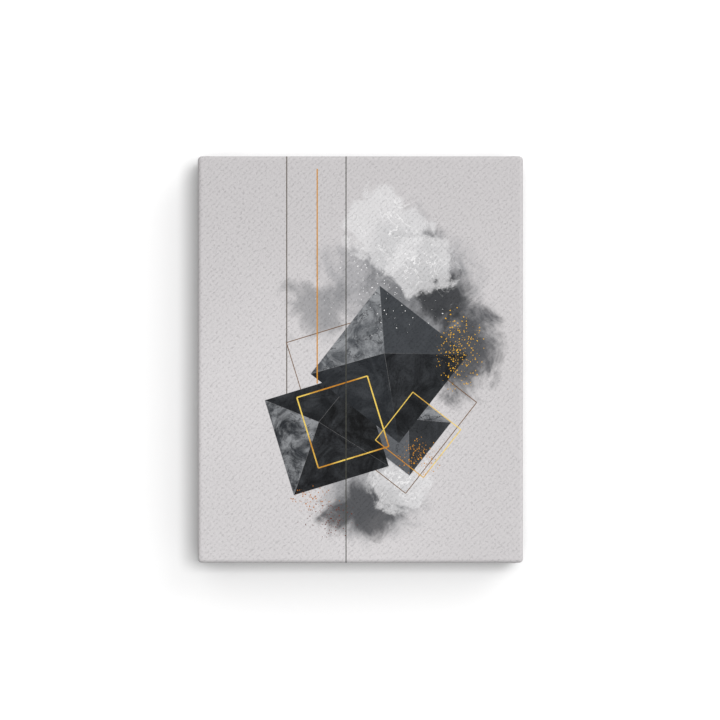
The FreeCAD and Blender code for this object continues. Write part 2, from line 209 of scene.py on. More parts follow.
# The ink washes: middle, reach, tone, most cover, grain and seed.
WASHES = (
    ((22, 176), (62, 62), "9b9b9e", 0.75, 0.030, 11),
    ((44, 148), (56, 56), "808184", 0.80, 0.034, 37),
    ((4, 44), (54, 40), "8b8c8f", 0.75, 0.036, 71),
    ((26, 184), (38, 40), "6f7073", 0.75, 0.050, 23),
    ((62, 132), (34, 44), "3e4044", 0.90, 0.046, 53),
    ((50, 166), (32, 24), "2f3134", 0.90, 0.052, 43),
    ((2, 34), (36, 26), "36383c", 0.85, 0.048, 61),
    ((-26, 160), (30, 30), "77787b", 0.60, 0.050, 19),
)
# The pale papery patches: middle, reach and seed.
PALE_PATCHES = (
    ((16, 208), (34, 34), 83),
    ((38, 186), (30, 24), 131),
    ((26, 50), (26, 24), 97),
)
# The groups of flecks: middle, reach, size, share at the middle, seed and tone.
FLECKS = (
    ((62, 132), (16, 30), 1.4, 1.1, 5, "e0ab35"),
    ((38, 66), (16, 14), 1.3, 1.3, 15, "c98a2b"),
    ((-30, 40), (18, 9), 1.4, 1.3, 25, "b06c22"),
    ((-20, 26), (20, 14), 1.3, 0.9, 35, "6a3424"),
    ((14, 176), (50, 44), 1.1, 0.09, 45, "f2f1f1"),
)


def square(middle, half, turn):
    """The corners of a square that is turned by so many degrees, anticlockwise."""
    corners = []
    for start in (225, 315, 45, 135):
        angle = math.radians(start + turn)
        reach = half * math.sqrt(2)
        corners.append((middle[0] + reach * math.cos(angle), middle[1] + reach * math.sin(angle)))
    return corners


def inside(s, corners, soft=0.2):
    """A mask that is 1 within a convex outline, whose corners are listed anticlockwise."""
    nearest = None
    for (x1, z1), (x2, z2) in zip(corners, corners[1:] + corners[:1]):
        length = math.hypot(x2 - x1, z2 - z1)
        inward = ((z1 - z2) / length, 0, (x2 - x1) / length)
        start = inward[0] * x1 + inward[2] * z1
        depth = s.math("SUBTRACT", s.vector("DOT_PRODUCT", s.point, inward), start)
        nearest = depth if nearest is None else s.math("MINIMUM", nearest, depth)
    return s.ramp(nearest, -soft, soft)


def line(s, start, end, width):
    """A mask that is 1 along a straight line from start to end."""
    run = Vector((end[0] - start[0], 0, end[1] - start[1]))
    middle = Vector((start[0], 0, start[1])) + run / 2
    along = run.normalized()
    across = Vector((-along.z, 0, along.x))
    reach = []
    for direction in (along, across):
        place = s.vector("DOT_PRODUCT", s.point, tuple(direction))
        reach.append(s.math("ABSOLUTE", s.math("SUBTRACT", place, direction.dot(middle))))
    masks = []
    for apart, half in zip(reach, (run.length / 2, width / 2)):
        masks.append(s.ramp(apart, half + LINE_SOFTNESS, half - LINE_SOFTNESS))
    return s.math("MULTIPLY", *masks)


def outline_of(s, corners, width):
    """A mask that is 1 along the outline through the corners."""
    total = None
    for start, end in zip(corners, corners[1:] + corners[:1]):
        side = line(s, start, end, width)
        total = side if total is None else s.math("MAXIMUM", total, side)
    return total


def near(s, middle, reach):
    """How near the point is to the middle of an ellipse: 1 there, 0 at its edge and beyond."""
    x, z = middle
    wide, high = reach
    apart = s.stretched((1 / wide, 0, 1 / high), at=s.moved((-x, 0, -z)))
    return s.math("SUBTRACT", 1.0, s.vector("LENGTH", apart), clamp=True)


def cloud(s, middle, reach, grain, seed, edge=0.30):
    """An ink cloud: it fills the middle of an ellipse and breaks up into wisps at its edge."""
    wisps = s.noise(grain, detail=9, roughness=0.6, distortion=0.7, at=s.moved((seed, 0, 3 * seed)))
    close = near(s, middle, reach)
    wash = s.ramp(s.math("ADD", s.math("MULTIPLY", close, 0.62), wisps), 0.60, 0.60 + edge)
    return s.math("MULTIPLY", wash, s.ramp(close, 0.0, 0.16))


def veins(s, scale, width, seed):
    """Thin wandering lines, where a noise passes through its middle value."""
    field = s.noise(scale, detail=5, roughness=0.55, distortion=0.6, at=s.moved((seed, 0, -seed)))
    return s.ramp(s.math("ABSOLUTE", s.math("SUBTRACT", field, 0.5)), width, 0.0)


def flecks(s, middle, reach, size, share, seed):
    """Small angular specks, close together at the middle of an ellipse and few at its edge."""
    cells = s.node("ShaderNodeTexVoronoi", distance="MANHATTAN", voronoi_dimensions="2D")
    on_face = s.node("ShaderNodeCombineXYZ")
    shaken = s.vector("SCALE", s.noise(0.9, detail=1, colour=True), scale=1.2)
    shaken = s.vector("ADD", shaken, s.moved((seed, 0, seed)))
    s.feed(on_face.inputs[0], s.axis("X", at=shaken))
    s.feed(on_face.inputs[1], s.axis("Z", at=shaken))
    s.feed(cells.inputs["Vector"], on_face.outputs[0])
    cells.inputs["Scale"].default_value = 1 / size
    chance = s.axis("X", at=cells.outputs["Color"])
    chosen = s.math("LESS_THAN", chance, s.math("MULTIPLY", near(s, middle, reach), share))
    own_size = s.math("MULTIPLY", s.axis("Y", at=cells.outputs["Color"]), 0.42)
    return s.math("MULTIPLY", chosen, s.math("LESS_THAN", cells.outputs["Distance"], own_size))


def weave(s, place):
    """A plain weave: its height, about -1 to 1, and the depth of its pits, from 0 to 1, which the
    materials darken as painted shade.

    The floats that lean one way are the stronger, and the yarns' thick places and grain make no
    two pits equally deep.
    """
    turn = math.pi / WEAVE_PITCH
    wander = s.vector("SUBTRACT", s.noise(0.35, detail=3, at=place, colour=True), (0.5, 0.5, 0.5))
    place = s.vector("ADD", place, s.vector("SCALE", wander, scale=2.6))
    rising = s.math("COSINE", s.vector("DOT_PRODUCT", place, (turn, -turn, 0)))
    falling = s.math("COSINE", s.vector("DOT_PRODUCT", place, (turn, turn, 0)))
    leaning = s.node("ShaderNodeCombineXYZ")
    s.feed(leaning.inputs[0], s.vector("DOT_PRODUCT", place, (0.27, 0.27, 0)))
    s.feed(leaning.inputs[1], s.vector("DOT_PRODUCT", place, (0.62, -0.62, 0)))
    slubs = s.math("SUBTRACT", s.noise(1.0, detail=2, at=leaning.outputs[0]), 0.5)
    grain = s.math("SUBTRACT", s.noise(1.75, detail=1, at=leaning.outputs[0]), 0.5)
    regular = s.math("ADD", s.math("MULTIPLY", rising, RISING), s.math("MULTIPLY", falling, FALLING))
    uneven = s.math("ADD", s.math("MULTIPLY", slubs, SLUBS), s.math("MULTIPLY", grain, GRAIN))
    height = s.math("ADD", regular, uneven)
    return height, s.ramp(height, -0.15, -0.95)


def flat_place(s):
    """Where a point of the cloth lies when it is unrolled flat, in mm."""
    given = s.node("ShaderNodeAttribute", attribute_name=FLAT_PLACE)
    return s.vector("SCALE", given.outputs["Vector"], scale=1 / MM)


def gold(s):
    """Foil that runs from pale gold through orange to brown."""
    patches = s.noise(0.03, detail=2, at=s.moved((40, 0, 0)))
    warm = s.mix(s.ramp(patches, 0.42, 0.55), linear("f0cf62"), linear("c3842a"))
    return s.mix(s.ramp(patches, 0.55, 0.66), warm, linear("6b3f1a"))


def paint_clouds(s, colour):
    """The ink washes behind the squares, with pale papery patches and hairline veins."""
    for middle, reach, tone, cover, grain, seed in WASHES:
        share = s.math("MULTIPLY", cloud(s, middle, reach, grain, seed), cover)
        colour = s.mix(share, colour, linear(tone))
    for middle, reach, seed in PALE_PATCHES:
        patch = s.math("MULTIPLY", cloud(s, middle, reach, 0.06, seed, edge=0.16), 0.7)
        colour = s.mix(patch, colour, linear("dcdbdc"))
        strands = s.math("MULTIPLY", veins(s, 0.07, 0.012, seed), near(s, middle, reach))
        colour = s.mix(strands, colour, linear("f4f3f3"))
    return colour


def paint_square(s, colour, middle, half, turn, apex, pale, tones):
    """A faceted square: four triangles that meet at an apex off its middle."""
    corners = square(middle, half, turn)
    scrape = s.noise(0.05, detail=8, roughness=0.68, distortion=1.4, at=s.moved((turn, 0, 0)))
    worn = s.ramp(scrape, 0.38, 0.72, 0.0, 0.45)
    for start, end, tone in zip(corners, corners[1:] + corners[:1], tones):
        facet = inside(s, [start, end, apex], soft=0.14)
        colour = s.mix(facet, colour, s.mix(worn, linear(tone), linear("4d5054")))
    cracks = s.math("MULTIPLY", veins(s, 0.028, 0.006, turn), inside(s, corners))
    colour = s.mix(s.math("MULTIPLY", cracks, 0.5), colour, linear("08090b"))
    marbled = inside(s, [corners[pale], corners[(pale + 1) % 4], apex], soft=0.14)
    streaks = s.noise(0.05, detail=9, roughness=0.66, distortion=1.8, at=s.moved((0, 0, turn)))
    light = s.math("MULTIPLY", s.math("MULTIPLY", s.ramp(streaks, 0.38, 0.64), marbled), 0.7)
    colour = s.mix(light, colour, linear("a3a5a8"))
    threads = s.math("MULTIPLY", veins(s, 0.06, 0.012, turn + 9), marbled)
    return s.mix(s.math("MULTIPLY", threads, 0.8), colour, linear("26282c"))


def ground(s):
    """The pale grey ground, with a faint random mottle, and painted shade that darkens it towards the top
    and the right.
    """
    shade = s.noise(0.012, detail=2, roughness=0.4)
    pale = s.mix(s.ramp(shade, 0.3, 0.7), linear("cecbcc"), linear("d2cfd0"))
    # Painted shade: the ground darkens towards the top and the right, to a shaded tone.
    upper = s.ramp(s.axis("Z"), 100, 240)
    right = s.math("MULTIPLY", s.ramp(s.axis("X"), 0, 90), 0.6)
    return s.mix(s.math("MAXIMUM", upper, right), pale, linear("c5c2c3"))


def picture(s):
    """A generic abstract of faceted squares, ink clouds, gold lines and flecks."""
    colour = paint_clouds(s, ground(s))
    bronze, foil = linear("6b4a26"), gold(s)
    colour = s.mix(line(s, (-46, 300), (-46, 96), 0.6), colour, linear("4a3f30"))
    for middle, half, turn, width, behind in OUTLINES:
        if behind:
            colour = s.mix(outline_of(s, square(middle, half, turn), width), colour, bronze)
    for shape in SQUARES:
        colour = paint_square(s, colour, **shape)
    for middle, half, turn, width, behind in OUTLINES:
        if not behind:
            colour = s.mix(outline_of(s, square(middle, half, turn), width), colour, foil)
    colour = s.mix(line(s, (-27, 246), (-27, 112), 0.75), colour, linear("c98a2b"))
    colour = s.mix(line(s, (-9, -60), (-9, 320), 0.6), colour, linear("45453e"))
    for middle, reach, size, share, seed, tone in FLECKS:
        colour = s.mix(flecks(s, middle, reach, size, share, seed), colour, linear(tone))
    return colour


def past_the_print(s):
    """A mask that is 1 on the back, where the print has stopped and the primed cloth is plain."""
    to_back = ((WIDTH / 2 + DEPTH) / MM, (HEIGHT / 2 + DEPTH) / MM, 0)
    beyond = s.vector("SUBTRACT", s.vector("ABSOLUTE", flat_place(s)), to_back)
    edge = s.math("MAXIMUM", s.axis("X", at=beyond), s.axis("Y", at=beyond))
    ragged = s.math("ADD", edge, s.math("MULTIPLY", s.noise(0.3, detail=3), 1.2))
    return s.ramp(ragged, 2.4, 2.9)


def printed_canvas():
    """Primed and printed cotton. The weave shows in its relief, and in its colour as painted shade in its
    pits, a painted highlight on its raised threads and a random fibre tone.
    """
    s = Shader("printed_canvas")
    colour = s.mix(past_the_print(s), picture(s), linear("e6e3dc"))
    height, pits = weave(s, flat_place(s))
    fibre = s.noise(2.2, detail=3, roughness=0.6)
    # Painted shade darkens the weave's pits and a painted highlight lightens its raised threads; the fibre
    # noise adds a random tone.
    weave_shade_highlight_and_fibre_tone = s.math("SUBTRACT", s.math("ADD", 1.028, s.math("MULTIPLY", height, 0.062)),
                  s.math("MULTIPLY", pits, 0.125))
    weave_shade_highlight_and_fibre_tone = s.math("ADD", weave_shade_highlight_and_fibre_tone, s.math("MULTIPLY", s.math("SUBTRACT", fibre, 0.5), 0.08))
    colour = s.vector("SCALE", colour, scale=weave_shade_highlight_and_fibre_tone)
    relief = s.math("SUBTRACT", s.math("ADD", height, s.math("MULTIPLY", fibre, 0.4)), pits)
    roughness = s.ramp(fibre, 0.2, 0.8, 0.62, 0.8)
    return s.finish(colour, roughness, relief, bump=0.8, distance=0.09 * MM,
                    Specular_IOR_Level=0.16)


def raw_cotton():
    """The unprimed side of the cloth, seen from behind."""
    s = Shader("raw_cotton")
    height, pits = weave(s, flat_place(s))
    weft = s.noise(1.2, detail=3, roughness=0.6, at=s.stretched((0.12, 1, 1)))
    warp = s.noise(1.2, detail=3, roughness=0.6, at=s.stretched((1, 1, 0.12)))
    yarn = s.math("MULTIPLY", s.math("ADD", weft, warp), 0.5)
    colour = s.mix(s.ramp(yarn, 0.35, 0.65), linear("d6caaf"), linear("e9e0cb"))
    # Painted shade: the weave's pits are darkened in the colour.
    colour = s.mix(s.math("MULTIPLY", pits, 0.28), colour, linear("94835f"))
    husks = flecks(s, (0, 127), (400, 400), 1.3, 0.02, 8)
    colour = s.mix(s.math("MULTIPLY", husks, 0.7), colour, linear("8a7350"))
    relief = s.math("SUBTRACT", s.math("ADD", height, s.math("MULTIPLY", yarn, 2.0)), pits)
    return s.finish(colour, 0.88, relief, bump=0.6, distance=0.12 * MM, Specular_IOR_Level=0.15)


# ------------------------ wood, steel and rubber


def wood(name, pale, dark, grain, pith, ring):
    """Softwood, whose growth rings run round a pith line that lies along the grain."""
    s = Shader(name)
    across = tuple(0.0 if axis == grain else 1.0 for axis in "XYZ")
    drawn = tuple(0.06 if axis == grain else 1.0 for axis in "XYZ")
    sway = s.noise(0.05, detail=2, at=s.stretched(drawn))
    from_pith = s.vector("LENGTH", s.stretched(across, at=s.moved(tuple(-p for p in pith))))
    grown = s.math("ADD", from_pith, s.math("MULTIPLY", sway, 9.0))
    part = s.math("FRACT", s.math("DIVIDE", grown, ring))
    late = s.math("MULTIPLY", s.ramp(part, 0.35, 0.86), s.ramp(part, 1.0, 0.92))
    thin = tuple(0.03 if axis == grain else 1.0 for axis in "XYZ")
    fibre = s.noise(3.2, detail=4, roughness=0.65, at=s.stretched(thin))
    patches = s.noise(0.03, detail=3, at=s.stretched(drawn))
    colour = s.mix(s.math("MULTIPLY", late, 0.75), linear(pale), linear(dark))
    colour = s.mix(s.ramp(fibre, 0.45, 0.75, 0.0, 0.35), colour, linear("9c7240"))
    colour = s.mix(s.ramp(patches, 0.4, 0.7, 0.0, 0.25), colour, linear("f3dfb8"))
    relief = s.math("ADD", s.math("MULTIPLY", late, 0.5), fibre)
    roughness = s.ramp(fibre, 0.3, 0.7, 0.5, 0.7)
    return s.finish(colour, roughness, relief, bump=0.45, distance=0.12 * MM,
                    Specular_IOR_Level=0.35)


def metal(name, tone, darker_mottle_tone, roughness, scale):
    """Plated sheet or wire: bright, with a faint mottle and fine scratches."""
    s = Shader(name)
    spangle = s.noise(scale, detail=5, roughness=0.6, distortion=0.5)
    scratches = s.noise(9.0, detail=3, at=s.stretched((0.15, 1, 1)))
    # A random mottle mixes the tone with the darker one.
    colour = s.mix(s.ramp(spangle, 0.35, 0.7), linear(tone), linear(darker_mottle_tone))
    dulled = s.ramp(s.math("ADD", spangle, s.math("MULTIPLY", scratches, 0.5)), 0.4, 1.0,
                    roughness - 0.08, roughness + 0.14)
    return s.finish(colour, dulled, scratches, bump=0.25, distance=0.04 * MM, Metallic=1.0)


def rubber():
    """Black rubber, a little grey with dust."""
    s = Shader("bumper_rubber")
    grain = s.noise(4.0, detail=4, roughness=0.7)
    dust = s.noise(0.5, detail=5, roughness=0.6)
    colour = s.mix(s.ramp(dust, 0.45, 0.75), linear("1c1c1d"), linear("3b3a39"))
    roughness = s.ramp(dust, 0.3, 0.7, 0.5, 0.78)
    return s.finish(colour, roughness, grain, bump=0.3, distance=0.08 * MM)


# ------------------------ the cloth's mesh

ARC_STEPS = 5
POINT_STEP = 2.3 * MM
# How far along a side its points are squeezed to make room for the corner and the pleat.
SMOOTH_REACH = 42 * MM
# How many rings each part of the wrap has, on the outside of the cloth and on the inside.
FRONT_EDGE_RINGS = (7, 3)
SIDE_RINGS = (24, 6)
BACK_EDGE_RINGS = (4, 2)
FLAP_RINGS = (13, 5)
# How a point lies in its ring: on an upright side, on a level side, which has the pleats, or on a
# corner's arc.
ON_PLAIN, ON_PLEATED, ON_CORNER = range(3)


def eased(value, low, high):
    """0 up to low, 1 from high on, and smooth between; works on arrays."""
    share = np.clip((value - low) / (high - low), 0, 1)
    return share * share * (3 - 2 * share)


def hill(value, middle, reach):
    """1 at the middle, falling off smoothly on both sides; works on arrays."""
    return np.exp(-((value - middle) / reach) ** 2)


def ripple(x, y, z):
    """A smooth random value between -1 and 1, the same each time at the same place."""
    return noise.noise(Vector((x, y, z)))


def spaced(length, near_corner, step):
    """Distances along a side: the given ones at both ends, and even steps between them."""
    start = near_corner[-1]
    count = round((length - 2 * start) / step)
    even = np.linspace(start, length - start, count + 1)[1:-1]
    ends = np.array(near_corner)
    return np.concatenate([ends, even, (length - ends)[::-1]])


# Where the points lie near a corner, in mm along a level side and an upright one. On the level
# side they crowd round the pleat's folded edge.
COLUMNS_NEAR_CORNER = [2.75, 2.95, 3.0, 3.05, 3.15, 3.3, 3.5, 3.8, 4.3, 5.0, 6.0, *np.arange(7.2, 42, 1.4)]
ROWS_NEAR_CORNER = [3.2, 4.2, 5.4, *np.arange(7, 42, 2.0)]
COLUMNS = spaced(WIDTH, [x * MM for x in COLUMNS_NEAR_CORNER], POINT_STEP)
ROWS = spaced(HEIGHT, [z * MM for z in ROWS_NEAR_CORNER], POINT_STEP)


class Ring:
    """One closed line of points round the wrap, at one distance along the cloth.

    inset is measured inwards from the box of the canvas, and lean is how far the surface faces
    along the depth: -1 on the front, 0 on the sides and 1 on the back.
    """

    def __init__(self, inset, radius, y, lean, pleat=PLEAT_FRONT):
        self.inset = inset
        self.radius = radius
        self.y = y
        self.lean = lean
        self.start = max(inset + radius, EDGE_ROUND)
        self.pleat = max(pleat, self.start + 0.2 * MM)
        self.trace()

    def stations(self, base, length, has_pleat):
        """The distances along one side, squeezed so that they start at the corner's end."""
        old = [EDGE_ROUND, SMOOTH_REACH]
        new = [self.start, SMOOTH_REACH]
        if has_pleat:
            old.insert(1, PLEAT_FRONT)
            new.insert(1, self.pleat)
        old += [length - d for d in reversed(old)]
        new += [length - d for d in reversed(new)]
        return np.interp(base, old, new)

    def trace(self):
        """Works out each point's place, its outward direction and where it is along its side."""
        points, facing, along, lengths, kinds = [], [], [], [], []
        low, high = CANVAS_LOW, CANVAS_HIGH
        corners = [(low.x, high.z), (high.x, high.z), (high.x, low.z), (low.x, low.z)]
        for side, corner in zip(SIDES, corners):
            pleated = side in LEVEL_SIDES
            length, base = (WIDTH, COLUMNS) if pleated else (HEIGHT, ROWS)
            out = np.array(OUTWARD[side], float)
            run = np.array((out[1], -out[0]))
            places = self.stations(base, length, pleated)
            line_start = np.array(corner) - out * self.inset
            points.append(line_start + places[:, None] * run)
            facing.append(np.repeat(out[None], len(places), axis=0))
            along.append(places)
            middle = np.array(corner) + run * (length - self.start) - out * self.start
            turns = np.linspace(0, math.pi / 2, ARC_STEPS + 1)
            arc = np.cos(turns)[:, None] * out + np.sin(turns)[:, None] * run
            centre_shift = self.start - self.inset - self.radius
            arc_middle = middle + (out + run) * centre_shift
            points.append(arc_middle + arc * self.radius)
            facing.append(arc)
            along.append(np.full(len(turns), length))
            kinds += [ON_PLEATED if pleated else ON_PLAIN] * len(places)
            kinds += [ON_CORNER] * len(turns)
            lengths += [length] * (len(places) + len(turns))
        self.points = np.concatenate(points)
        self.facing = np.concatenate(facing)
        self.along = np.concatenate(along)
        self.lengths = np.array(lengths)
        self.kind = np.array(kinds)


def staple_places(side):
    """Where the middles of one side's staples lie, from the CAD: distances along x or z."""
    low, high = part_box(f"{side}_staples")
    axis = 0 if side in LEVEL_SIDES else 2
    first, last = low[axis] + STAPLE_CROWN / 2, high[axis] - STAPLE_CROWN / 2
    return np.linspace(first, last, round((last - first) / STAPLE_PITCH) + 1)


def bulge(ring):
    """How far each point of an outer ring stands out from the plain wrap, in metres."""
    from_corner = np.minimum(ring.along, ring.lengths - ring.along)
    depth = ring.y - CANVAS_LOW.y
    pleated = ring.kind == ON_PLEATED
    wobble = np.array([ripple(x * 90, ring.y * 70, z * 90) for x, z in ring.points])
    past = from_corner - ring.pleat
    fold_edge = eased(past, 0.02 * MM, 0.28 * MM)
    rim = PLEAT_RIM * hill(past, 0.9 * MM, 0.9 * MM) * (past > 0)
    if ring.lean < 1:
        under = 1 - eased(from_corner - depth, -1.0 * MM, 3.5 * MM)
        strength = eased(depth, 2.5 * MM, 12 * MM)
        swell = 0.10 * MM * hill(from_corner, 6 * MM, 3 * MM) * (1 - eased(depth, 3 * MM, 9 * MM))
    else:
        under = 1 - eased(from_corner, ring.pleat + 5 * MM, ring.pleat + 12 * MM)
        strength = 1.0
        swell = 0
    rise = pleated * (strength * (PLEAT_RISE * fold_edge * under + rim * under) + swell * fold_edge)
    at_corner = np.where(ring.kind == ON_CORNER, 1, hill(from_corner, ring.start, 6 * MM))
    lump = at_corner * (0.04 + 0.20 * wobble) * MM * eased(depth, 0, 6 * MM)
    loose = 0.0
    if ring.lean == 1:
        loose = flap_looseness(ring)
        at_back = 1 - eased(from_corner, 6 * MM, 20 * MM)
        rise = rise + np.where(ring.kind == ON_PLAIN, 0.3 * MM * at_back, 0)
    return np.maximum(rise + lump + 0.03 * MM * wobble + loose, -0.05 * MM)


def flap_looseness(ring):
    """How far the raw edge lifts off the bars between the staples, and the hanger at the top."""
    lift = np.zeros(len(ring.points))
    edge = eased(ring.inset, STAPLE_INSET, FLAP)
    for side in SIDES:
        axis = 0 if side in LEVEL_SIDES else 1
        mine = ring.facing @ np.array(OUTWARD[side]) > 0.9
        held = list(staple_places(side))
        if side == "top":
            # The hanger holds the cloth down too, over its own width.
            held += list(np.arange(-22, 23, 4) * MM)
        gaps = np.min(np.abs(ring.points[:, axis][:, None] - np.array(held)[None]), axis=1)
        lift += mine * FLAP_LIFT * eased(gaps, 7 * MM, 22 * MM) * edge
    return lift


def cloth_rings(inner):
    """The rings from the front to the raw edge on one side of the cloth, without the front one."""
    skin = CLOTH if inner else 0.0
    front, back = CANVAS_LOW.y + skin, CANVAS_HIGH.y - skin
    round_front, round_back = EDGE_ROUND - skin, BACK_ROUND - skin
    depth = back - round_back - front - round_front
    rings = []
    for turn in np.linspace(0, math.pi / 2, FRONT_EDGE_RINGS[inner] + 1)[1:]:
        inset = skin + round_front * (1 - math.sin(turn))
        y = front + round_front * (1 - math.cos(turn))
        rings.append(Ring(inset, round_front * math.sin(turn), y, -math.cos(turn)))
    for share in np.linspace(0, 1, SIDE_RINGS[inner] + 1)[1:]:
        fold = PLEAT_FRONT + (PLEAT_BACK - PLEAT_FRONT) * share**0.8
        y = front + round_front + depth * share
        rings.append(Ring(skin, round_front, y, 0.0, pleat=fold))
    for turn in np.linspace(0, math.pi / 2, BACK_EDGE_RINGS[inner] + 1)[1:]:
        inset = skin + round_back * (1 - math.cos(turn))
        y = back - round_back + round_back * math.sin(turn)
        corner = max(EDGE_ROUND - inset, 0.3 * MM)
        rings.append(Ring(inset, corner, y, math.sin(turn), pleat=PLEAT_BACK))
    for inset in np.linspace(BACK_ROUND, FLAP, FLAP_RINGS[inner] + 1)[1:]:
        fold = PLEAT_BACK + 0.62 * inset
        corner = max(EDGE_ROUND - inset, 0.3 * MM)
        rings.append(Ring(inset, corner, back, 1.0, pleat=fold))
    return rings


def tension(x, z):
    """Faint waves of the stretched face: scallops near the staples and folds from each corner."""
    to_side = WIDTH / 2 - abs(x)
    to_end = min(z, HEIGHT - z)
    fade = float(eased(min(to_side, to_end), 0, 12 * MM))
    scallop_reach = 18 * MM
    fold_reach = 40 * MM
    scallop = math.cos(z / STAPLE_PITCH * 2 * math.pi) * math.exp(-to_side / scallop_reach)
    scallop += math.cos(x / STAPLE_PITCH * 2 * math.pi) * math.exp(-to_end / scallop_reach)
    angle = math.atan2(to_end, to_side)
    reach = math.hypot(to_side, to_end)
    corner = math.cos(angle * 12) * math.exp(-reach / fold_reach)
    slow = ripple(x * 14, 0, z * 14)
    return fade * (0.05 * scallop + 0.05 * corner + 0.10 * slow) * MM


def unrolled(ring, run):
    """The flat place of each point: its place on the face, plus its distance round the edge."""
    x, z = ring.points[:, 0], ring.points[:, 1] - MIDDLE.z
    flat = np.stack([x, z], axis=1)
    beyond = run - ring_depth(ring, x, z)
    return flat + ring.facing * beyond[:, None]


def ring_depth(ring, x, z):
    """How far a point lies out from the flat front's edge, along its own side's direction."""
    edge = np.array([WIDTH / 2 - EDGE_ROUND, HEIGHT / 2 - EDGE_ROUND])
    return ((np.abs(np.stack([x, z], axis=1)) - edge) * np.abs(ring.facing)).sum(axis=1)


class Sheet:
    """The cloth's points, their places when it lies flat, its faces and each face's material."""

    def __init__(self):
        self.vertices = []
        self.flats = []
        self.faces = []
        self.slots = []

    def add_points(self, points, flat_places):
        """Adds the points and gives back their numbers."""
        first = len(self.vertices)
        self.vertices += points
        self.flats += [(x, z, 0) for x, z in flat_places]
        return list(range(first, len(self.vertices)))

    def add_face(self, corners, inner):
        self.faces.append(corners)
        self.slots.append(int(inner))


def add_front(sheet, inner):
    """Adds the flat front. Gives back its outermost points, in the order of a ring's points."""
    columns = np.concatenate([[EDGE_ROUND], COLUMNS, [WIDTH - EDGE_ROUND]]) + CANVAS_LOW.x
    rows = np.concatenate([[EDGE_ROUND], ROWS, [HEIGHT - EDGE_ROUND]])
    face_y = CANVAS_LOW.y + (CLOTH if inner else 0.0)
    points = [(x, face_y + tension(x, z), z) for z in rows for x in columns]
    numbers = sheet.add_points(points, [(x, z - MIDDLE.z) for z in rows for x in columns])
    grid = np.reshape(numbers, (len(rows), len(columns)))
    for lower, upper in zip(grid[:-1].tolist(), grid[1:].tolist()):
        for left in range(len(columns) - 1):
            right = left + 1
            quad = [lower[left], lower[right], upper[right], upper[left]]
            sheet.add_face(quad[::-1] if inner else quad, inner)
    border = []
    for side in (grid[-1], grid[::-1, -1], grid[0, ::-1], grid[:, 0]):
        *between, corner = side.tolist()[1:]
        border += between + [corner] * (ARC_STEPS + 1)
    return border


def ring_points(ring, inner):
    """Where a ring's points lie, with the pleats and waves that the outside of the cloth has."""
    rise = np.zeros(len(ring.points)) if inner else bulge(ring)
    cut = np.zeros(len(ring.points))
    if ring.lean == 1:
        ragged = np.array([ripple(x * 300, 5, z * 300) for x, z in ring.points])
        cut = eased(ring.inset, FLAP - 5 * MM, FLAP) * 0.3 * MM * ragged
    across = math.sqrt(max(0.0, 1 - ring.lean**2))
    face_places = ring.points + ring.facing * (rise * across + cut)[:, None]
    depths = ring.y + rise * ring.lean
    return [(x, y, z) for (x, z), y in zip(face_places, depths)]


def join_rows(sheet, before, after, inner):
    """Closes the strip between two rings; where points coincide, it leaves a triangle."""
    count = len(before)
    for i in range(count):
        j = (i + 1) % count
        quad = [before[i], after[i], after[j], before[j]]
        quad = [v for k, v in enumerate(quad) if v != quad[k - 1]]
        if len(set(quad)) < 3:
            continue
        sheet.add_face(quad if inner else quad[::-1], inner)


def build_cloth():
    """The whole wrap as one closed sheet: face, rounded edges, pleated sides and back flaps."""
    sheet = Sheet()
    raw_edges = []
    for inner in (False, True):
        row_before = add_front(sheet, inner)
        run = 0.0
        place = (EDGE_ROUND, CANVAS_LOW.y + (CLOTH if inner else 0.0))
        for ring in cloth_rings(inner):
            run += math.hypot(ring.inset - place[0], ring.y - place[1])
            place = (ring.inset, ring.y)
            row = sheet.add_points(ring_points(ring, inner), unrolled(ring, run))
            join_rows(sheet, row_before, row, inner)
            row_before = row
        raw_edges.append(row_before)
    outer_edge, inner_edge = raw_edges
    join_rows(sheet, outer_edge, inner_edge, False)
    cloth = new_piece("wrapped_cloth", sheet.vertices, sheet.faces, sharp=50)
    flat_place_data = cloth.data.attributes.new(FLAT_PLACE, "FLOAT_VECTOR", "POINT").data
    flat_place_data.foreach_set("vector", np.array(sheet.flats, np.float32).ravel())
    cloth.data.materials.append(printed_canvas())
    cloth.data.materials.append(raw_cotton())
    cloth.data.polygons.foreach_set("material_index", sheet.slots)
    return cloth


# ------------------------ other meshes


def new_piece(name, vertices, faces, sharp=40):
    """A mesh object with smooth shading, broken where the faces turn by more than sharp degrees."""
    mesh = bpy.data.meshes.new(name)
    mesh.from_pydata([tuple(v) for v in vertices], [], faces)
    mesh.validate()
    mesh.polygons.foreach_set("use_smooth", [True] * len(mesh.polygons))
    mesh.set_sharp_from_angle(angle=math.radians(sharp))
    piece = bpy.data.objects.new(name, mesh)
    bpy.context.scene.collection.objects.link(piece)
    return piece


def sweep(path, section, side):
    """A closed bar with this section along the path. side is the direction of the section's x."""
    vertices, faces = [], []
    count = len(section)
    for i, point in enumerate(path):
        along = (path[min(i + 1, len(path) - 1)] - path[max(i - 1, 0)]).normalized()
        across = (side - along * side.dot(along)).normalized()
        up = along.cross(across)
        vertices += [point + across * a + up * b for a, b in section]
    for i in range(len(path) - 1):
        for j in range(count):
            k = (j + 1) % count
            a, b = i * count, (i + 1) * count
            faces.append([a + j, a + k, b + k, b + j])
    faces.append(list(range(count))[::-1])
    faces.append([(len(path) - 1) * count + j for j in range(count)])
    return vertices, faces


def gather(name, parts, sharp=40):
    """One piece out of several (vertices, faces) parts."""
    vertices, faces = [], []
    for more_vertices, more_faces in parts:
        first = len(vertices)
        vertices += more_vertices
        faces += [[first + v for v in face] for face in more_faces]
    return new_piece(name, vertices, faces, sharp)


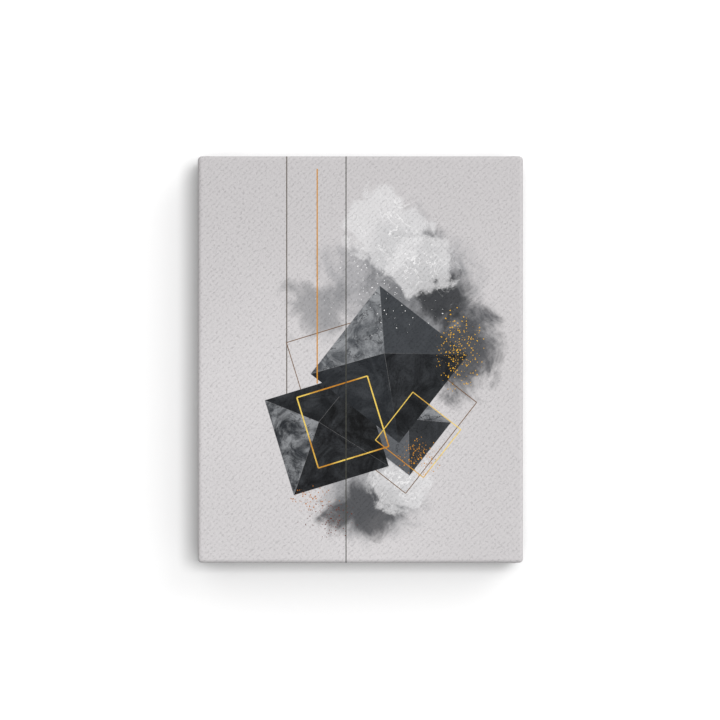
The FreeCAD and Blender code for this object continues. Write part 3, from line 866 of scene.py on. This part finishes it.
def arc_points(middle, reach, start, end, count):
    """Points along part of an ellipse, from its middle, its half axes and two angles in degrees."""
    turns = np.radians(np.linspace(start, end, count))
    return [(middle[0] + reach[0] * math.cos(turn), middle[1] + reach[1] * math.sin(turn))
            for turn in turns]


def rounded_section(width, thick, radius):
    """A rectangle with rounded corners, anticlockwise."""
    x = width / 2 - radius
    y = thick / 2 - radius
    points = []
    for middle, start in (((x, y), 0), ((-x, y), 90), ((-x, -y), 180), ((x, -y), 270)):
        points += arc_points(middle, (radius, radius), start, start + 90, 3)
    return points


def lathe(middle, profile, steps=48):
    """A solid turned round the y axis through middle, from (radius, y) pairs, ends on the axis."""
    vertices = [Vector((middle.x, profile[0][1], middle.z))]
    for radius, y in profile[1:-1]:
        for turn in np.linspace(0, 2 * math.pi, steps, endpoint=False):
            x = middle.x + radius * math.cos(turn)
            z = middle.z + radius * math.sin(turn)
            vertices.append(Vector((x, y, z)))
    vertices.append(Vector((middle.x, profile[-1][1], middle.z)))
    faces = []
    rings = len(profile) - 2
    last = len(vertices) - 1
    for j in range(steps):
        k = (j + 1) % steps
        faces.append([0, 1 + j, 1 + k])
        for r in range(rings - 1):
            a, b = 1 + r * steps, 1 + (r + 1) * steps
            faces.append([a + j, b + j, b + k, a + k])
        end = 1 + (rings - 1) * steps
        faces.append([last, end + k, end + j])
    return vertices, faces


def build_staples(side, steel):
    """A row of flat-wire staples with bent shoulders, where the CAD has them."""
    low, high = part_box(f"{side}_staples")
    level = side in LEVEL_SIDES
    middle = (low + high) / 2
    thick, wide, bend = 0.6 * MM, 1.2 * MM, 0.9 * MM
    top = high.y - thick / 2
    half = STAPLE_CROWN / 2 - thick / 2
    flat = [(-half, low.y + thick / 2)]
    flat += arc_points((-half + bend, top - bend), (bend, bend), 180, 90, 6)
    flat += [(-x, y) for x, y in reversed(flat)]
    across = Vector((0, 0, 1)) if level else Vector((1, 0, 0))
    parts = []
    chance = random.Random(side)
    for place in staple_places(side):
        lean = chance.uniform(-0.02, 0.02)
        path = []
        for along, y in flat:
            spot = middle.copy()
            spot[0 if level else 2] = place + along
            spot += across * along * lean
            path.append(Vector((spot.x, y, spot.z)))
        parts.append(sweep(path, rounded_section(wide, thick, 0.14 * MM), across))
    staples = gather(f"{side}_staple_wire", parts)
    staples.data.materials.append(steel)
    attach(staples, f"{side}_bar")
    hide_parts(f"{side}_staples")


def build_bumper(side, material):
    """A stick-on bumper: a turned pad with a rounded rim and a shallow dish."""
    low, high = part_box(f"{side}_bumper")
    middle = (low + high) / 2
    radius = (high.x - low.x) / 2
    thick = high.y - low.y
    profile = [(0, low.y), (radius * 0.96, low.y), (radius, low.y + thick * 0.08),
               (radius, low.y + thick * 0.16)]
    rim_middle = (radius * 0.72, high.y - thick * 0.6)
    profile += arc_points(rim_middle, (radius * 0.24, thick * 0.6), 0, 90, 8)
    profile += [(radius * 0.5, high.y - 0.02 * thick), (radius * 0.2, high.y - 0.08 * thick),
                (0, high.y - 0.09 * thick)]
    bumper = gather(f"{side}_rubber_bumper", [lathe(middle, profile)])
    bumper.data.materials.append(material)
    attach(bumper, "cloth")
    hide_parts(f"{side}_bumper")


def build_nails(material):
    """The hanger's two nails, each with a low domed head."""
    low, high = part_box("hanger_nails")
    head = (high.z - low.z) / 2
    shank = head * 0.36
    neck = high.y - 0.6 * MM
    rim = neck + 0.12 * MM
    profile = [(0, low.y), (shank * 0.3, low.y + 0.4 * MM), (shank, low.y + 1.6 * MM),
               (shank, neck), (head * 0.97, neck), (head, rim)]
    profile += arc_points((0, rim), (head, high.y - rim), 0, 90, 9)[1:-1]
    profile.append((0, high.y))
    parts = []
    for x in (low.x + head, high.x - head):
        parts.append(lathe(Vector((x, 0, (low.z + high.z) / 2)), profile, steps=32))
    nails = gather("hanger_nail_pins", parts)
    nails.data.materials.append(material)
    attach(nails, "top_bar")
    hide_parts("hanger_nails")


def build_threads(material):
    """Loose threads at the raw edge, which cutting the cloth leaves."""
    count, thick, step = 34, 0.22 * MM, 0.5 * MM
    section = arc_points((0, 0), (thick / 2, thick / 2), 0, 300, 6)
    chance = random.Random(8)
    back = CANVAS_HIGH.y - CLOTH / 2
    parts = []
    for _ in range(count):
        side = chance.choice(SIDES)
        level = side in LEVEL_SIDES
        length = (WIDTH if level else HEIGHT) - 2 * FLAP
        place = chance.uniform(-0.46, 0.46) * length
        out_x, out_z = OUTWARD[side]
        inward = Vector((-out_x, 0, -out_z))
        run = Vector((1, 0, 0)) if level else Vector((0, 0, 1))
        reach = (HEIGHT if level else WIDTH) / 2 - FLAP
        spot = Vector((MIDDLE.x, back, MIDDLE.z)) - inward * reach + run * place
        heading = inward + run * chance.uniform(-1.4, 1.4)
        curl = chance.uniform(-0.5, 0.5)
        path = []
        for _ in range(chance.randint(7, 12)):
            path.append(spot.copy())
            turn = Matrix.Rotation(curl + chance.uniform(-0.25, 0.25), 3, "Y")
            heading = turn @ heading.normalized()
            spot = spot + heading * step
            spot.y = back + 0.12 * MM * math.sin(len(path) * 0.7)
        parts.append(sweep(path, section, Vector((0, 1, 0))))
    threads = gather("loose_threads", parts, sharp=80)
    threads.data.materials.append(material)
    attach(threads, "cloth")


def dress(node, material, edge):
    """Gives a CAD node its material, and softens its edges by that much."""
    piece = NODES[node]
    piece.data.materials[0] = material
    weld = piece.modifiers.new("weld", "WELD")
    weld.merge_threshold = 0.005 * MM
    soften = piece.modifiers.new("soften", "BEVEL")
    soften.width = edge
    soften.segments = 3
    soften.limit_method = "ANGLE"
    soften.angle_limit = math.radians(30)
    soften.harden_normals = True


# ------------------------ the pieces

cloth = build_cloth()
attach(cloth, "cloth")
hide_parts("canvas")
BARS = [f"{side}_bar" for side in SIDES]

# Where the pith of each side's timber lies, in mm, which sets how its growth rings curve.
bar_pith = {"top": (0, 60, 190), "bottom": (0, -70, -30), "left": (-40, 50, 0), "right": (150, 30, 0)}
key_pith = {"top": (0, 30, 260), "bottom": (0, 40, -30), "left": (-150, 20, 0), "right": (60, 40, 0)}
for node in sorted(NODES):
    side = node.split("_")[0]
    grain = "X" if side in LEVEL_SIDES else "Z"
    if node in BARS:
        pine = wood(f"pine_{side}", "e6cb9c", "c08f52", grain, bar_pith[side], 3.1)
        dress(node, pine, edge=0.5 * MM)
    elif "_key_" in node:
        key_wood = wood(f"key_wood_{node}", "ecd8b0", "d0a66c", grain, key_pith[side], 1.7)
        dress(node, key_wood, edge=0.25 * MM)

staple_steel = metal("staple_steel", "c9cbcc", "9fa2a4", 0.34, 0.8)
for side in SIDES:
    build_staples(side, staple_steel)
dress("sawtooth_hanger", metal("hanger_steel", "c2c2bf", "8f908e", 0.30, 0.5), edge=0.15 * MM)
build_nails(metal("nail_steel", "e0dac8", "b4a98e", 0.22, 0.9))
bumper_rubber = rubber()
for side in ("left", "right"):
    build_bumper(side, bumper_rubber)
build_threads(raw_cotton())


# ------------------------ stage, light and camera

FLOOR_Z = -0.42
WALL_REACH = 3.0
FLOOR_REACH = 60.0
# How near the canvas the wall darkens, the ambient occlusion that this starts and ends at, and
# the share of the light that the wall reflects there. Over 1, it burns out as in the photograph.
CONTACT_REACH = 0.016
CONTACT_OPENNESS = (0.3, 1.05)
WALL_REFLECTION = (0.7, 1.1)


def plane(name, corners, material):
    """A flat four-sided piece of the stage."""
    piece = new_piece(name, corners, [[0, 1, 2, 3]])
    piece.data.materials.append(material)
    return piece


def wall_material():
    """White, with a painted contact shadow close to the canvas, and clear when it is seen from behind."""
    s = Shader("stage_wall")
    contact = s.node("ShaderNodeAmbientOcclusion", samples=8)
    contact.inputs["Distance"].default_value = CONTACT_REACH
    paint = s.node("ShaderNodeBsdfDiffuse")
    # Painted shadow: ambient occlusion darkens the wall's colour close to the canvas.
    level = s.ramp(contact.outputs["AO"], *CONTACT_OPENNESS, *WALL_REFLECTION)
    s.feed(paint.inputs["Color"], s.vector("SCALE", (1, 1, 1), scale=level))
    clear = s.node("ShaderNodeBsdfTransparent")
    mixed = s.node("ShaderNodeMixShader")
    s.feed(mixed.inputs[0], s.node("ShaderNodeNewGeometry").outputs["Backfacing"])
    s.feed(mixed.inputs[1], paint.outputs[0])
    s.feed(mixed.inputs[2], clear.outputs[0])
    s.feed(s.node("ShaderNodeOutputMaterial").inputs["Surface"], mixed.outputs[0])
    return s.material


def floor_material():
    """Pale grey with a faint mottle."""
    s = Shader("stage_floor")
    mottle = s.noise(0.01, detail=3)
    return s.finish(s.mix(mottle, linear("bdbcbb"), linear("c3c2c0")), 0.7)


wall_y = WALL_Y + 0.1 * MM
wall_corners = []
floor_corners = []
for across, along in ((-1, -1), (1, -1), (1, 1), (-1, 1)):
    wall_corners.append((across * WALL_REACH, wall_y, WALL_REACH if along > 0 else FLOOR_Z))
    floor_corners.append((across * FLOOR_REACH, along * FLOOR_REACH, FLOOR_Z))
wall = plane("stage_wall", wall_corners, wall_material())
wall.visible_diffuse = wall.visible_glossy = wall.visible_transmission = wall.visible_shadow = False
floor = plane("stage_floor", floor_corners, floor_material())
floor.visible_diffuse = floor.visible_glossy = False


def area_light(name, offset, size, power):
    """A soft light that faces the middle of the canvas from that offset."""
    data = bpy.data.lights.new(name, "AREA")
    data.shape = "RECTANGLE"
    data.size, data.size_y = size
    data.energy = power
    light = bpy.data.objects.new(name, data)
    light.location = MIDDLE + Vector(offset)
    light.rotation_euler = (-Vector(offset)).to_track_quat("-Z", "Y").to_euler()
    bpy.context.scene.collection.objects.link(light)


area_light("key_light", (0.56, -3.0, 0.28), (1.00, 0.72), 36.0)
area_light("side_light", (2.1, -2.7, 1.9), (1.8, 1.8), 20.0)
area_light("back_light", (0.9, 1.6, 1.2), (1.2, 0.9), 16.0)


def studio(bright_way, dimmest, brightest):
    """Plain white surroundings that grow brighter towards one direction."""
    world = bpy.data.worlds.new("studio")
    world.use_nodes = True
    nodes, links = world.node_tree.nodes, world.node_tree.links
    toward = nodes.new("ShaderNodeVectorMath")
    toward.operation = "DOT_PRODUCT"
    toward.inputs[1].default_value = bright_way
    links.new(nodes.new("ShaderNodeTexCoord").outputs["Generated"], toward.inputs[0])
    glow = nodes.new("ShaderNodeMapRange")
    for socket, value in zip(glow.inputs[1:], (-1.0, 1.0, dimmest, brightest)):
        socket.default_value = value
    links.new(toward.outputs["Value"], glow.inputs[0])
    sky = nodes["Background"]
    links.new(glow.outputs[0], sky.inputs["Strength"])
    sky.inputs["Color"].default_value = (1, 1, 1, 1)
    return world


bpy.context.scene.world = studio((0.70, -0.15, 0.70), 0.20, 0.92)
bpy.context.scene.view_settings.view_transform = "Standard"
bpy.context.scene.view_settings.look = "None"

# The camera looks straight on, a little off the middle as in the photograph.
VIEW_WIDTH = 0.4494
LENS = 135
SENSOR = 36
OFF_MIDDLE = Vector((-0.28 * MM, 0, -0.3 * MM))
camera_data = bpy.data.cameras.new("camera")
camera_data.lens = LENS
camera_data.sensor_width = SENSOR
camera = bpy.data.objects.new("camera", camera_data)
stand_off = VIEW_WIDTH * LENS / SENSOR
camera.location = Vector((MIDDLE.x, CANVAS_LOW.y - stand_off, MIDDLE.z)) + OFF_MIDDLE
camera.rotation_euler = (math.radians(90), 0, 0)
bpy.context.scene.collection.objects.link(camera)
bpy.context.scene.camera = camera
